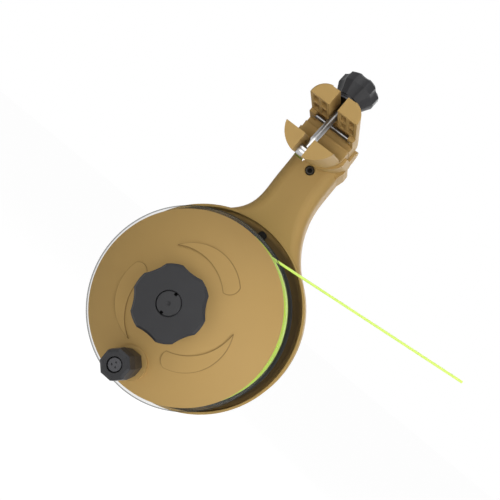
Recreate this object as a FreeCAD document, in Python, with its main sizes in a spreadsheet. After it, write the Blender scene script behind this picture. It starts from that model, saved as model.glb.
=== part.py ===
import FreeCAD, Part
import math
import os
import Sketcher

# Fishing line winder that clamps to a rod: a spool with a domed disc and a crank handle turns on an
# axle bolt in the dish of a moulded arm, and the arm ends in two jaws that a swing bolt closes.
# Frame: the origin is on the axis of the clamped rod, midway along the jaws. X runs along the rod,
# Z points away from the spool and Y runs along the spool's axis, from the crank side to the dish.

V = FreeCAD.Vector
doc = FreeCAD.newDocument("line_winder")
sheet = doc.addObject("Spreadsheet::Sheet", "Sizes")
sheet_rows = []
parts = {}


class Size:
    """A length or angle that carries its value and the expression that gives it."""

    def __init__(self, value, text=None):
        self.value = float(value)
        self.text = text or repr(float(value))

    @staticmethod
    def of(other):
        return other if isinstance(other, Size) else Size(other)

    def join(self, sign, other, value):
        return Size(value, "(%s %s %s)" % (self.text, sign, other.text))

    def __add__(self, other):
        other = Size.of(other)
        return self.join("+", other, self.value + other.value)

    def __sub__(self, other):
        other = Size.of(other)
        return self.join("-", other, self.value - other.value)

    def __mul__(self, other):
        other = Size.of(other)
        return self.join("*", other, self.value * other.value)

    def __truediv__(self, other):
        other = Size.of(other)
        return self.join("/", other, self.value / other.value)

    def __radd__(self, other):
        return Size.of(other) + self

    def __rsub__(self, other):
        return Size.of(other) - self

    def __rmul__(self, other):
        return Size.of(other) * self

    def __neg__(self):
        return Size(-self.value, "(-1 * %s)" % self.text)


def size(name, value):
    """A driving dimension: one row of the sheet, with its name as alias."""
    sheet_rows.append(name)
    row = len(sheet_rows)
    sheet.set("A%d" % row, name)
    sheet.set("B%d" % row, str(value))
    sheet.setAlias("B%d" % row, name)
    return Size(value, "Sizes." + name)


def root_of(value):
    value = Size.of(value)
    return Size(math.sqrt(value.value), "sqrt(%s)" % value.text)


def cosine(degrees):
    degrees = Size.of(degrees)
    return Size(math.cos(math.radians(degrees.value)), "cos(%s * 1 deg)" % degrees.text)


def sine(degrees):
    degrees = Size.of(degrees)
    return Size(math.sin(math.radians(degrees.value)), "sin(%s * 1 deg)" % degrees.text)


def leg(hypotenuse, other_leg):
    """Third side of a right triangle, as for the height of a sphere or arc at an offset."""
    hypotenuse, other_leg = Size.of(hypotenuse), Size.of(other_leg)
    return root_of(hypotenuse * hypotenuse - other_leg * other_leg)


# ---- Driving dimensions, millimetres and degrees ----

gap = size("touch_gap", 0.05)
spool_drop = size("spool_drop", 122)

# Front disc: a spherical dome with raised crescents.
disc_radius = size("disc_radius", 55)
dome_radius = size("dome_radius", 97.5)
dome_rise = size("dome_rise", 19)
disc_wall = size("disc_wall", 2.4)
disc_back = size("disc_back", 0.4)
crescent_sphere = size("crescent_sphere", 137)
crescent_centre = size("crescent_centre", 118.75)
crescent_tip_radius = size("crescent_tip_radius", 33)
crescent_head_outer = size("crescent_head_outer", 34)
crescent_head_inner = size("crescent_head_inner", 24.8)
crescent_start = size("crescent_start", 132)
crescent_sweep = size("crescent_sweep", 77)
crescent_outer_bend = size("crescent_outer_bend", 26.7)
crescent_inner_bend = size("crescent_inner_bend", 29.5)
crescent_end_bend = size("crescent_end_bend", 5.8)
crescent_count = 3

# Hub, flanges and winding.
core_radius = size("core_radius", 11)
core_front = size("core_front", 17.5)
core_rear = size("core_rear", 33)
core_bore = size("core_bore", 5.3)
web_front = size("web_front", 2.4)
web_back = size("web_back", 4.9)
drum_radius = size("drum_radius", 24)
drum_wall = size("drum_wall", 2)
drum_rear = size("drum_rear", 28.5)
flange_thickness = size("flange_thickness", 3)
flange_radius = size("flange_radius", 57.7)
clear_radius = size("clear_radius", 57.5)
line_front_radius = size("line_front_radius", 48.1)
line_full_radius = size("line_full_radius", 55.6)
hub_screw_circle = size("hub_screw_circle", 17)
hub_boss_radius = size("hub_boss_radius", 2.9)
screw_shank = size("screw_shank", 1.5)
screw_head = size("screw_head", 2.7)
screw_head_height = size("screw_head_height", 2)

# Bearings and axle.
axle_radius = size("axle_radius", 4)
bearing_radius = size("bearing_radius", 8)
bearing_width = size("bearing_width", 5)
bearing_front = size("bearing_front", 17)
sleeve_radius = size("sleeve_radius", 5)
axle_front = size("axle_front", 33)
axle_seat = size("axle_seat", 50.5)
axle_head_height = size("axle_head_height", 2.5)
hex_flat = size("hex_flat", 6.5)
nut_back = size("nut_back", 38)
spacer_thickness = size("spacer_thickness", 0.6)

# Drag washer and star knob.
washer_flange = size("washer_flange", 9)
washer_front = size("washer_front", 19.6)
star_radius = size("star_radius", 20.4)
star_valley = size("star_valley", 18.8)
star_draft = size("star_draft", 4.2)
star_turn = size("star_turn", 2)
star_back = size("star_back", 20)
star_front = size("star_front", 38.3)
star_chamfer = size("star_chamfer", 1.4)
insert_radius = size("insert_radius", 6.5)
cap_radius = size("cap_radius", 6.6)
lobes = 6
lobe_share = 0.42

# Crank handle on its shoulder screw.
crank_x = size("crank_x", -1.3)
crank_drop = size("crank_drop", 40.5)
crank_boss_radius = size("crank_boss_radius", 9.6)
crank_boss_front = size("crank_boss_front", 14.3)
crank_boss_back = size("crank_boss_back", 5.5)
handle_front = size("handle_front", 40)
handle_back = size("handle_back", 14.5)
handle_wide = size("handle_wide", 32)
handle_base = size("handle_base", 7.7)
handle_middle = size("handle_middle", 9)
handle_end = size("handle_end", 8.2)
shoulder_radius = size("shoulder_radius", 3)
crank_head_radius = size("crank_head_radius", 3.8)

# Dish and arm.
dish_lift = size("dish_lift", 1.6)
dish_radius = size("dish_radius", 63.9)
dish_lip = size("dish_lip", 1.5)
dish_front = size("dish_front", 36.5)
dish_floor = size("dish_floor", 48)
shell_back = size("shell_back", 53.7)
cover_back = size("cover_back", 55.7)
dish_boss_radius = size("dish_boss_radius", 10)
arm_half = size("arm_half", 15.5)
arm_right_fillet = size("arm_right_fillet", 60)
arm_left_fillet = size("arm_left_fillet", 28)
arm_top_front = size("arm_top_front", 32)
arm_top_level = size("arm_top_level", 17)
head_side_bottom = size("head_side_bottom", -3.2)
arm_edge_round = size("arm_edge_round", 7.5)
arm_wall = size("arm_wall", 2.6)
arm_hollow_front = size("arm_hollow_front", 42)

# Lower jaw: a D-shaped block whose round underside rises toward the arm.
rod_radius = size("rod_radius", 6)
jaw_half = size("jaw_half", 15.3)
head_half = size("head_half", 17)
head_round = size("head_round", 19.5)
head_bottom = size("head_bottom", 15)
head_top = size("head_top", 3)
head_front = size("head_front", 10)
lower_front = size("lower_front", 30)
lower_round = size("lower_round", 16.2)
lower_bottom = size("lower_bottom", 21.9)
lower_rise = size("lower_rise", 0.18)
lower_edge = size("lower_edge", 10.4)
cradle_lip = size("cradle_lip", 23)
slot_half = size("slot_half", 3)
slot_back = size("slot_back", 9)

# Swing bolt and clamp knob.
eye_y = size("eye_y", -18.8)
eye_z = size("eye_z", -17.2)
eye_radius = size("eye_radius", 3.7)
eye_half = size("eye_half", 2.7)
eye_pin_radius = size("eye_pin_radius", 1)
eye_pin_half = size("eye_pin_half", 4.8)
bolt_lean = size("bolt_lean", 14)
bolt_radius = size("bolt_radius", 2)
seat_height = size("seat_height", 36.8)
clamp_washer_radius = size("clamp_washer_radius", 7)
clamp_washer_height = size("clamp_washer_height", 1.2)
clamp_knob_radius = size("clamp_knob_radius", 11.7)
clamp_neck_radius = size("clamp_neck_radius", 7.3)
clamp_knob_base = size("clamp_knob_base", 44.2)
clamp_knob_top = size("clamp_knob_top", 53.2)
clamp_turn = size("clamp_turn", 0)

# Upper jaw and its hinge.
upper_front = size("upper_front", 30.5)
upper_face = size("upper_face", 8.7)
upper_face_back = size("upper_face_back", -3.5)
upper_top = size("upper_top", 18.4)
upper_round = size("upper_round", 9)
upper_slot_half = size("upper_slot_half", 2.8)
upper_slot_back = size("upper_slot_back", -5.5)
mouth_roof = size("mouth_roof", 11)
mouth_back = size("mouth_back", 8)
cheek_inner = size("cheek_inner", 11.5)
cheek_bottom = size("cheek_bottom", 6.4)
jaw_back = size("jaw_back", 21.4)
hinge_y = size("hinge_y", 28)
hinge_z = size("hinge_z", 5)
hinge_pin_radius = size("hinge_pin_radius", 1.5)
knuckle_radius = size("knuckle_radius", 5.6)
knuckle_half = size("knuckle_half", 7.7)
lug_radius = size("lug_radius", 6)
lug_inner = size("lug_inner", 8)
grip_y = size("grip_y", 1.5)
grip_z = size("grip_z", 7.65)
grip_radius = size("grip_radius", 1.5)

# Loose line from the winding.
line_radius = size("line_radius", 0.75)
line_depth = size("line_depth", 4)
line_reach = size("line_reach", 49.2)
line_climb = size("line_climb", 5.8)
line_length = size("line_length", 146)

far = Size(200)
zero = Size(0)
doc.recompute()


# ---- Sketching helpers ----

def plane(body, role):
    return next(face for face in body.Origin.OriginFeatures if face.Role == role)


def new_body(label, x=zero, y=zero, z=zero):
    body = doc.addObject("PartDesign::Body", label)
    body.Label = label
    for axis, place in (("x", x), ("y", y), ("z", z)):
        if place is not zero:
            body.setExpression("Placement.Base." + axis, place.text)
    parts[label] = body
    return body


def sketch_on(body, name, role, offset=zero):
    """A sketch on an origin plane. XY looks along +Z, YZ along +X, and XZ along -Y."""
    sketch = body.newObject("Sketcher::SketchObject", name)
    sketch.AttachmentSupport = [(plane(body, role), "")]
    sketch.MapMode = "FlatFace"
    if offset is not zero:
        sketch.setExpression("AttachmentOffset.Base.z", offset.text)
    return sketch


def front_sketch(body, name, y=zero):
    return sketch_on(body, name, "XZ_Plane", zero if y is zero else -y)


def side_sketch(body, name, x=zero):
    return sketch_on(body, name, "YZ_Plane", x)


def bind(sketch, index, value):
    sketch.setExpression("Constraints[%d]" % index, value.text)


def pin_point(sketch, edge, end, u, v):
    """Hold one end point of an edge at (u, v)."""
    for value, kind, axis in ((u, "DistanceX", -2), (v, "DistanceY", -1)):
        if value.value == 0:
            sketch.addConstraint(Sketcher.Constraint("PointOnObject", edge, end, axis))
        else:
            rule = Sketcher.Constraint(kind, -1, 1, edge, end, value.value)
            bind(sketch, sketch.addConstraint(rule), value)


def arc_between(start, end, radius):
    """Arc of the given radius from start to end: it turns left where the radius is positive."""
    middle = (start + end) * 0.5
    chord = end - start
    left = V(-chord.y, chord.x, 0).normalize()
    height = math.sqrt(max(radius * radius - chord.Length * chord.Length / 4, 0))
    centre = middle + left * math.copysign(height, radius)
    angles = [math.atan2(p.y - centre.y, p.x - centre.x) for p in (start, end)]
    if radius < 0:
        angles.reverse()
    circle = Part.Circle(centre, V(0, 0, 1), abs(radius))
    return Part.ArcOfCircle(circle, angles[0], angles[1])


def outline(sketch, points):
    """Closed outline: a third number is the radius of the arc to the next point, + turns left."""
    corners = [tuple(Size.of(number) for number in point) for point in points]
    ends = []
    for index, corner in enumerate(corners):
        follower = corners[(index + 1) % len(corners)]
        start = V(corner[0].value, corner[1].value, 0)
        end = V(follower[0].value, follower[1].value, 0)
        if len(corner) == 3:
            edge = sketch.addGeometry(arc_between(start, end, corner[2].value))
            turns_left = corner[2].value > 0
            ends.append((edge, 1, 2) if turns_left else (edge, 2, 1))
        else:
            edge = sketch.addGeometry(Part.LineSegment(start, end))
            ends.append((edge, 1, 2))
    for index, (edge, first, last) in enumerate(ends):
        following = ends[(index + 1) % len(ends)]
        joint = Sketcher.Constraint("Coincident", edge, last, following[0], following[1])
        sketch.addConstraint(joint)
    for index, ((edge, first, last), corner) in enumerate(zip(ends, corners)):
        pin_point(sketch, edge, first, corner[0], corner[1])
        if len(corner) == 3:
            hold_bend(sketch, edge, corner, corners[(index + 1) % len(corners)])


def hold_bend(sketch, edge, corner, follower):
    """Hold an arc's radius, or its centre level with its ends where it is a half turn."""
    across = follower[0].value - corner[0].value
    along = follower[1].value - corner[1].value
    bend = corner[2] if corner[2].value > 0 else -corner[2]
    if abs(math.hypot(across, along) - 2 * bend.value) > 1e-6:
        bind(sketch, sketch.addConstraint(Sketcher.Constraint("Radius", edge, bend.value)), bend)
        return
    kind, level = ("DistanceY", corner[1]) if abs(across) > abs(along) else ("DistanceX", corner[0])
    if level.value == 0:
        axis = -1 if kind == "DistanceY" else -2
        sketch.addConstraint(Sketcher.Constraint("PointOnObject", edge, 3, axis))
    else:
        rule = Sketcher.Constraint(kind, -1, 1, edge, 3, level.value)
        bind(sketch, sketch.addConstraint(rule), level)


def circle(sketch, u, v, radius):
    u, v, radius = Size.of(u), Size.of(v), Size.of(radius)
    edge = sketch.addGeometry(Part.Circle(V(u.value, v.value, 0), V(0, 0, 1), radius.value))
    pin_point(sketch, edge, 3, u, v)
    bind(sketch, sketch.addConstraint(Sketcher.Constraint("Radius", edge, radius.value)), radius)


def box(sketch, u0, v0, u1, v1):
    outline(sketch, [(u0, v0), (u1, v0), (u1, v1), (u0, v1)])


def hexagon(sketch, half_width, u=zero, v=zero, first_angle=0):
    reach = half_width / cosine(30)
    turns = [first_angle + 60 * step for step in range(6)]
    outline(sketch, [(u + reach * cosine(turn), v + reach * sine(turn)) for turn in turns])


def lobed(sketch, outer, valley, count, first_turn):
    """Knob outline: round lobes joined by wide shallow hollows."""
    step = 360.0 / count
    half_lobe = step * lobe_share / 2
    half_gap = step / 2 - half_lobe
    chord = outer * sine(half_gap)
    sag = outer * cosine(half_gap) - valley
    hollow = (chord * chord + sag * sag) / (2 * sag)
    points = []
    for number in range(count):
        turn = first_turn + step * number
        points.append((outer * cosine(turn - half_lobe), outer * sine(turn - half_lobe), outer))
        points.append((outer * cosine(turn + half_lobe), outer * sine(turn + half_lobe), -hollow))
    outline(sketch, points)


# ---- Feature helpers ----

def extrude(body, kind, sketch, length, both=False, flip=False):
    feature = body.newObject("PartDesign::" + kind, sketch.Name + "_" + kind.lower())
    feature.Profile = sketch
    feature.setExpression("Length", Size.of(length).text)
    feature.SideType = "Symmetric" if both else "One side"
    feature.Reversed = flip
    return feature


def pad(body, sketch, length, **options):
    return extrude(body, "Pad", sketch, length, **options)


def pocket(body, sketch, length, **options):
    return extrude(body, "Pocket", sketch, length, **options)


def lathe(body, kind, sketch, axis="H_Axis"):
    feature = body.newObject("PartDesign::" + kind, sketch.Name + "_" + kind.lower())
    feature.Profile = sketch
    feature.ReferenceAxis = (sketch, [axis])
    feature.Angle = 360
    return feature


def turned(label, points, x=zero, z=zero):
    """A piece turned about an axis along Y: its points are (y, radius)."""
    body = new_body(label, x, zero, z)
    profile = side_sketch(body, label + "_profile")
    outline(profile, points)
    lathe(body, "Revolution", profile)
    return body


def around(body, feature, count, axis_role="Y_Axis"):
    pattern = body.newObject("PartDesign::PolarPattern", feature.Name + "_ring")
    pattern.Originals = [feature]
    pattern.Axis = (plane(body, axis_role), [""])
    pattern.Angle = 360
    pattern.Occurrences = count
    body.Tip = pattern
    return pattern


def edges_where(feature, test):
    doc.recompute()
    return ["Edge%d" % (number + 1) for number, edge in enumerate(feature.Shape.Edges) if test(edge)]


def soften(body, kind, feature, amount, test):
    """Fillet or chamfer the edges of the body's last feature that pass the test."""
    names = edges_where(feature, test)
    softened = body.newObject("PartDesign::" + kind, feature.Name + "_" + kind.lower())
    softened.Base = (feature, names)
    quantity = "Radius" if kind == "Fillet" else "Size"
    softened.setExpression(quantity, Size.of(amount).text)
    return softened


def in_front(edge, y):
    """Whether an edge lies in the plane at y."""
    return abs(edge.BoundBox.YMin - y.value) + abs(edge.BoundBox.YMax - y.value) < 1e-3


def dome_depth(radius, sphere):
    """Y of the dome's sphere at a radius from the spool's axis."""
    return dome_radius - dome_rise - leg(sphere, radius)


# ---- Spool ----

def crescent_sketch():
    """Outline of one crescent in front view: a sharp tip, two arcs and a round end."""
    drawing = doc.addObject("Sketcher::SketchObject", "crescent_outline")
    drawing.Placement = FreeCAD.Placement(V(0, 0, 0), FreeCAD.Rotation(V(1, 0, 0), 90))
    end_angle = crescent_start - crescent_sweep
    tip = (crescent_tip_radius * cosine(crescent_start), crescent_tip_radius * sine(crescent_start))
    outer = (crescent_head_outer * cosine(end_angle), crescent_head_outer * sine(end_angle))
    inner = (crescent_head_inner * cosine(end_angle), crescent_head_inner * sine(end_angle))
    outline(drawing, [tip + (-crescent_outer_bend,),
                      outer + (-crescent_end_bend,),
                      inner + (crescent_inner_bend,)])
    return drawing


def ball_at(name, radius, y):
    ball = doc.addObject("Part::Sphere", name)
    ball.setExpression("Radius", radius.text)
    ball.setExpression("Placement.Base.y", y.text)
    return ball


def make_front_disc():
    """Dome with a rim, a hub hole, a boss for the crank, three screw posts and three crescents.

    A crescent's face is flatter than the dome, so its step fades out toward the hub.
    """
    inner_sphere = dome_radius - disc_wall
    hole = core_radius + gap
    rim_inner = disc_radius - disc_wall + 0.6
    body = turned("front_disc_dome", [
        (dome_depth(hole, dome_radius), hole, -dome_radius),
        (dome_depth(disc_radius, dome_radius), disc_radius),
        (disc_back, disc_radius),
        (disc_back, rim_inner),
        (dome_depth(rim_inner, inner_sphere), rim_inner, inner_sphere),
        (dome_depth(hole, inner_sphere), hole)])
    del parts["front_disc_dome"]
    boss = front_sketch(body, "crank_boss", -crank_boss_back)
    circle(boss, crank_x, -crank_drop, crank_boss_radius)
    pad(body, boss, crank_boss_front - crank_boss_back)
    hole_sketch = front_sketch(body, "crank_hole", -crank_boss_front)
    circle(hole_sketch, crank_x, -crank_drop, shoulder_radius - 0.45)
    pocket(body, hole_sketch, crank_boss_front)
    nut_seat = front_sketch(body, "nut_seat", -crank_boss_back)
    circle(nut_seat, crank_x, -crank_drop, 5.2)
    pocket(body, nut_seat, crank_boss_back + 1)
    post = front_sketch(body, "screw_post", web_front)
    circle(post, zero, hub_screw_circle, hub_boss_radius)
    circle(post, zero, hub_screw_circle, screw_shank)
    around(body, pad(body, post, Size(17.9)), 3)

    relief = doc.addObject("Part::Cut", "crescent_layer")
    relief.Base = ball_at("crescent_face", crescent_sphere, crescent_centre)
    relief.Tool = ball_at("crescent_root", dome_radius - disc_wall / 2, dome_radius - dome_rise)
    drawing = crescent_sketch()
    raised = [body]
    for step in range(crescent_count):
        prism = doc.addObject("Part::Extrusion", "crescent_prism_%d" % (step + 1))
        prism.Base = drawing
        prism.DirMode = "Custom"
        prism.Dir = V(0, -1, 0)
        prism.LengthFwd = 60
        prism.Solid = True
        prism.Placement = FreeCAD.Placement(V(0, 0, 0), FreeCAD.Rotation(V(0, 1, 0), 120 * step))
        raised_one = doc.addObject("Part::Common", "crescent_%d" % (step + 1))
        raised_one.Base = relief
        raised_one.Tool = prism
        raised.append(raised_one)
    disc = doc.addObject("Part::MultiFuse", "front_disc")
    disc.Shapes = raised
    disc.Label = "front_disc"
    disc.setExpression("Placement.Base.z", (-spool_drop).text)
    parts["front_disc"] = disc


def make_clear_flange():
    hole = drum_radius - drum_wall + gap
    edge = clear_radius - 0.5
    turned("clear_flange", [
        (disc_back, hole), (disc_back, edge), (disc_back + 0.5, clear_radius),
        (web_front - 0.5, clear_radius), (web_front, edge), (web_front, hole)],
        z=-spool_drop)


def make_spool_hub():
    """Core tube with two bearing seats, a web, a drum for the line and the clear flange's spigot."""
    drum_inner = drum_radius - drum_wall
    front_seat = -(bearing_front - bearing_width)
    rear_seat = core_rear - bearing_width
    body = turned("spool_hub", [
        (-core_front, bearing_radius), (-core_front, core_radius), (web_front, core_radius),
        (web_front, drum_inner - drum_wall), (disc_back, drum_inner - drum_wall),
        (disc_back, drum_inner), (web_front, drum_inner), (web_front, drum_radius),
        (drum_rear, drum_radius), (drum_rear, drum_inner), (web_back, drum_inner),
        (web_back, core_radius), (core_rear, core_radius), (core_rear, bearing_radius),
        (rear_seat, bearing_radius), (rear_seat, core_bore), (front_seat, core_bore),
        (front_seat, bearing_radius)],
        z=-spool_drop)
    holes = front_sketch(body, "disc_screw_hole", web_front - 1)
    circle(holes, zero, hub_screw_circle, screw_shank + 0.1)
    around(body, pocket(body, holes, web_back), 3)
    post = front_sketch(body, "flange_post", drum_rear)
    circle(post, zero, -hub_screw_circle, hub_boss_radius)
    circle(post, zero, -hub_screw_circle, screw_shank)
    around(body, pad(body, post, drum_rear - web_back), 3)


def make_rear_flange():
    hole = core_radius + gap
    rear = drum_rear + flange_thickness
    body = turned("rear_flange", [
        (drum_rear, hole), (drum_rear, flange_radius - 0.8), (drum_rear + 0.8, flange_radius),
        (rear - 0.8, flange_radius), (rear, flange_radius - 0.8), (rear, hole)],
        z=-spool_drop)
    holes = front_sketch(body, "flange_screw_hole", drum_rear)
    circle(holes, zero, -hub_screw_circle, screw_shank + 0.1)
    around(body, pocket(body, holes, flange_thickness + 1), 3)


def make_line_winding():
    """Wound line: shallow beside the clear flange, full over the rest of the drum."""
    turned("line_winding", [
        (web_front, drum_radius), (web_front, line_front_radius), (Size(6.5), line_front_radius),
        (Size(14), line_full_radius - 0.4, -30), (Size(22), line_full_radius, -60),
        (drum_rear, line_full_radius - 0.5), (drum_rear, drum_radius)],
        z=-spool_drop)


def screw_group(label, places, head, head_height, shank, length, y_head, from_rear, socket):
    """Identical screws along Y, one solid each: heads at y_head, shanks away from the head side."""
    way = -1 if from_rear else 1
    body = new_body(label, z=-spool_drop)
    head_sketch = front_sketch(body, label + "_heads", y_head)
    shank_sketch = front_sketch(body, label + "_shanks", y_head)
    for x, z in places:
        circle(head_sketch, x, z, head)
        circle(shank_sketch, x, z, shank)
    pad(body, head_sketch, head_height, flip=from_rear)
    pad(body, shank_sketch, length, flip=not from_rear)
    sockets = front_sketch(body, label + "_sockets", y_head - way * Size.of(head_height))
    for x, z in places:
        hexagon(sockets, socket, Size.of(x), Size.of(z))
    pocket(body, sockets, head_height * 0.6, flip=from_rear)
    return body


def ring_places(radius, count, first_angle):
    angles = [first_angle + 360.0 * step / count for step in range(count)]
    return [(radius * cosine(angle), radius * sine(angle)) for angle in angles]


def make_spool_screws():
    for label, first_angle, seat, length in (
            ("disc_screws", 90, web_back, Size(11)),
            ("flange_screws", -90, drum_rear + flange_thickness, Size(10))):
        places = ring_places(hub_screw_circle, 3, first_angle)
        screw_group(label, places, screw_head, screw_head_height * 0.8, screw_shank, length,
                    seat, True, Size(1.2))


def make_bearing(label, y_front):
    """Ball bearing as one ring, with the shallow shield recess between its inner and outer race."""
    y_rear = y_front + bearing_width
    bore, dip = axle_radius + gap, Size(0.3)
    inner_race, outer_race = axle_radius + 1.2, bearing_radius - 1.1
    turned(label, [
        (y_front, bore), (y_front, inner_race), (y_front + dip, inner_race),
        (y_front + dip, outer_race), (y_front, outer_race), (y_front, bearing_radius),
        (y_rear, bearing_radius), (y_rear, outer_race), (y_rear - dip, outer_race),
        (y_rear - dip, inner_race), (y_rear, inner_race), (y_rear, bore)],
        z=-spool_drop)


def make_crank():
    """Faceted handle that turns on a shoulder screw, and the nut behind the disc."""
    handle = new_body("crank_handle", crank_x, zero, -spool_drop - crank_drop)
    sections = []
    for name, y, radius in (("handle_foot", -handle_back, handle_base),
                            ("handle_waist", -handle_wide, handle_middle),
                            ("handle_tip", -handle_front, handle_end)):
        section = front_sketch(handle, name, y)
        turns = [22.5 + 45 * step for step in range(8)]
        outline(section, [(radius * cosine(turn), radius * sine(turn)) for turn in turns])
        sections.append(section)
    loft = handle.newObject("PartDesign::AdditiveLoft", "handle_loft")
    loft.Profile = sections[0]
    loft.Sections = sections[1:]
    loft.Ruled = True
    soften(handle, "Chamfer", loft, 1.3,
           lambda edge: in_front(edge, -handle_back) or in_front(edge, -handle_front))
    bore = front_sketch(handle, "handle_bore", -handle_front - 1)
    circle(bore, zero, zero, shoulder_radius + gap)
    pocket(handle, bore, handle_front)
    seat = front_sketch(handle, "handle_counterbore", -handle_front - 1)
    circle(seat, zero, zero, crank_head_radius + 0.4)
    pocket(handle, seat, Size(4))

    head_back = -handle_front + 3
    thread = shoulder_radius - 0.5
    screw = turned("crank_screw", [
        (head_back - 2.5, 0), (head_back - 2.5, crank_head_radius - 0.4),
        (head_back - 2.1, crank_head_radius), (head_back, crank_head_radius),
        (head_back, shoulder_radius), (-crank_boss_front, shoulder_radius),
        (-crank_boss_front, thread), (Size(-1.5), thread), (Size(-1.5), 0)],
        crank_x, -spool_drop - crank_drop)
    pit = front_sketch(screw, "key_pit", head_back - 2.5)
    circle(pit, zero, 1.4, Size(0.55))
    around(screw, pocket(screw, pit, 1), 3)

    nut = new_body("crank_nut", crank_x, zero, -spool_drop - crank_drop)
    flats = front_sketch(nut, "nut_flats", -crank_boss_back + 3.5)
    hexagon(flats, Size(4))
    circle(flats, zero, zero, thread)
    pad(nut, flats, 3.5)


def bevel(body, name, role, start, end, turn, start_radii, end_radii):
    """Sloping edge of a lobed knob: a ruled loft between two lobed outlines."""
    sections = []
    for mark, level, radii in (("_wide", start, start_radii), ("_narrow", end, end_radii)):
        section = sketch_on(body, name + mark, role, level)
        lobed(section, radii[0], radii[1], lobes, turn)
        sections.append(section)
    loft = body.newObject("PartDesign::AdditiveLoft", name + "_loft")
    loft.Profile = sections[0]
    loft.Sections = [sections[1]]
    loft.Ruled = True
    return loft


# ---- Axle and drag ----

def make_axle():
    front = bearing_front - bearing_width
    turned("inner_sleeve", [
        (-front, axle_radius + gap), (-front, sleeve_radius), (core_rear - bearing_width, sleeve_radius),
        (core_rear - bearing_width, axle_radius + gap)], z=-spool_drop)
    turned("bearing_spacer", [
        (core_rear, axle_radius + gap), (core_rear, 6), (core_rear + spacer_thickness, 6),
        (core_rear + spacer_thickness, axle_radius + gap)], z=-spool_drop)
    axle = turned("axle", [
        (-axle_front, 0), (-axle_front, axle_radius - 0.5), (-axle_front + 0.5, axle_radius),
        (axle_seat, axle_radius), (axle_seat, 0)], z=-spool_drop)
    head = front_sketch(axle, "axle_head", axle_seat + axle_head_height)
    hexagon(head, hex_flat)
    pad(axle, head, axle_head_height)
    nut = new_body("axle_nut", z=-spool_drop)
    flats = front_sketch(nut, "axle_nut_flats", nut_back)
    hexagon(flats, hex_flat)
    circle(flats, zero, zero, axle_radius)
    pad(nut, flats, nut_back - core_rear - spacer_thickness)


def make_drag():
    """Stepped washer, and the star knob with its brass insert and its cap."""
    bore = axle_radius + 0.1
    turned("drag_washer", [
        (-washer_front, bore), (-washer_front, washer_flange), (-core_front - 0.1, washer_flange),
        (-core_front - 0.1, 5.6), (-bearing_front, 5.6), (-bearing_front, bore)], z=-spool_drop)

    knob = new_body("star_knob", z=-spool_drop)
    shoulder = star_front - star_chamfer
    bevel(knob, "star_flank", "XZ_Plane", star_back, shoulder, star_turn,
          (star_radius - star_draft, star_valley - star_draft), (star_radius, star_valley))
    bevel(knob, "star_bevel", "XZ_Plane", shoulder, star_front, star_turn,
          (star_radius, star_valley), (star_radius - star_chamfer, star_valley - star_chamfer))
    boss = front_sketch(knob, "star_boss", -washer_front)
    circle(boss, zero, zero, washer_flange - 0.5)
    pad(knob, boss, star_back - washer_front)
    bore_sketch = front_sketch(knob, "star_bore", -Size(34))
    circle(bore_sketch, zero, zero, insert_radius)
    pocket(knob, bore_sketch, 20)
    cap_seat = front_sketch(knob, "star_cap_seat", -star_front - 1)
    circle(cap_seat, zero, zero, cap_radius + 0.3)
    pocket(knob, cap_seat, 2.3)

    turned("star_knob_insert", [
        (Size(-34), axle_radius + gap), (Size(-34), insert_radius), (-star_back + 0.2, insert_radius),
        (-star_back + 0.2, axle_radius + gap)], z=-spool_drop)

    cap = turned("star_knob_cap", [
        (Size(-37), 0), (Size(-38.1), 0), (Size(-38.5), 1.2), (Size(-38.5), cap_radius - 0.5),
        (Size(-38), cap_radius), (Size(-37), cap_radius)], z=-spool_drop)
    notch = front_sketch(cap, "cap_notch", Size(-39))
    box(notch, -0.8, cap_radius - 1.5, 0.8, cap_radius + 1)
    around(cap, pocket(cap, notch, 1.2), 2)


# ---- Arm ----

dish_z = dish_lift - spool_drop


def fillet_to_dish(bend):
    """Height of the centre of the arc that joins the arm's straight edge to the dish's rim."""
    return leg(dish_radius + bend, arm_half + bend) + dish_z


def rim_touch(bend):
    """Point of the dish's rim where that arc starts, on the right-hand side."""
    share = dish_radius / (dish_radius + bend)
    return (arm_half + bend) * share, leg(dish_radius + bend, arm_half + bend) * share + dish_z


def arm_outline(sketch):
    """Front view of the arm: it flares into the dish below and widens to the head above."""
    right_x, right_z = rim_touch(arm_right_fillet)
    left_x, left_z = rim_touch(arm_left_fillet)
    outline(sketch, [
        (right_x, right_z, -arm_right_fillet), (arm_half, fillet_to_dish(arm_right_fillet))]
        + head_outline()[1:] + [(-arm_half, head_side_bottom - 5),
        (-arm_half, fillet_to_dish(arm_left_fillet), -arm_left_fillet), (-left_x, left_z),
        (-left_x, left_z - 14), (right_x - 6, right_z - 10)])


def arm_reach(bend, z):
    """Half-width of the arm at a height, on the side whose flare has the given bend."""
    below = fillet_to_dish(bend) - z
    if below.value <= 0:
        return arm_half
    return arm_half + bend - leg(bend, below)


def arm_section(body, z, inset=zero):
    """Level cut of the arm: flat behind, with two round corners in front."""
    slope = (dish_front - arm_top_front) / (60 - arm_top_level)
    front = arm_top_front + slope * (-arm_top_level - z) + inset
    left = arm_reach(arm_left_fillet, z) - inset
    right = arm_reach(arm_right_fillet, z) - inset
    corner = arm_edge_round - inset
    section = sketch_on(body, "arm_level_%d" % round(100 - z.value), "XY_Plane", z)
    outline(section, [
        (-left, shell_back), (-left, front + corner, corner), (corner - left, front),
        (right - corner, front, corner), (right, front + corner), (right, shell_back)])
    return section


def arm_foot(body):
    """Lowest level of the arm, where both flares have met the dish's rim."""
    right_x, right_z = rim_touch(arm_right_fillet)
    section = sketch_on(body, "arm_level_foot", "XY_Plane", right_z)
    front = dish_front + 1.2
    corner = arm_edge_round
    left_x = right_x - 2.5
    outline(section, [
        (-left_x, shell_back), (-left_x, front + corner, corner), (corner - left_x, front),
        (right_x - corner, front, corner), (right_x, front + corner), (right_x, shell_back)])
    return section


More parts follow.
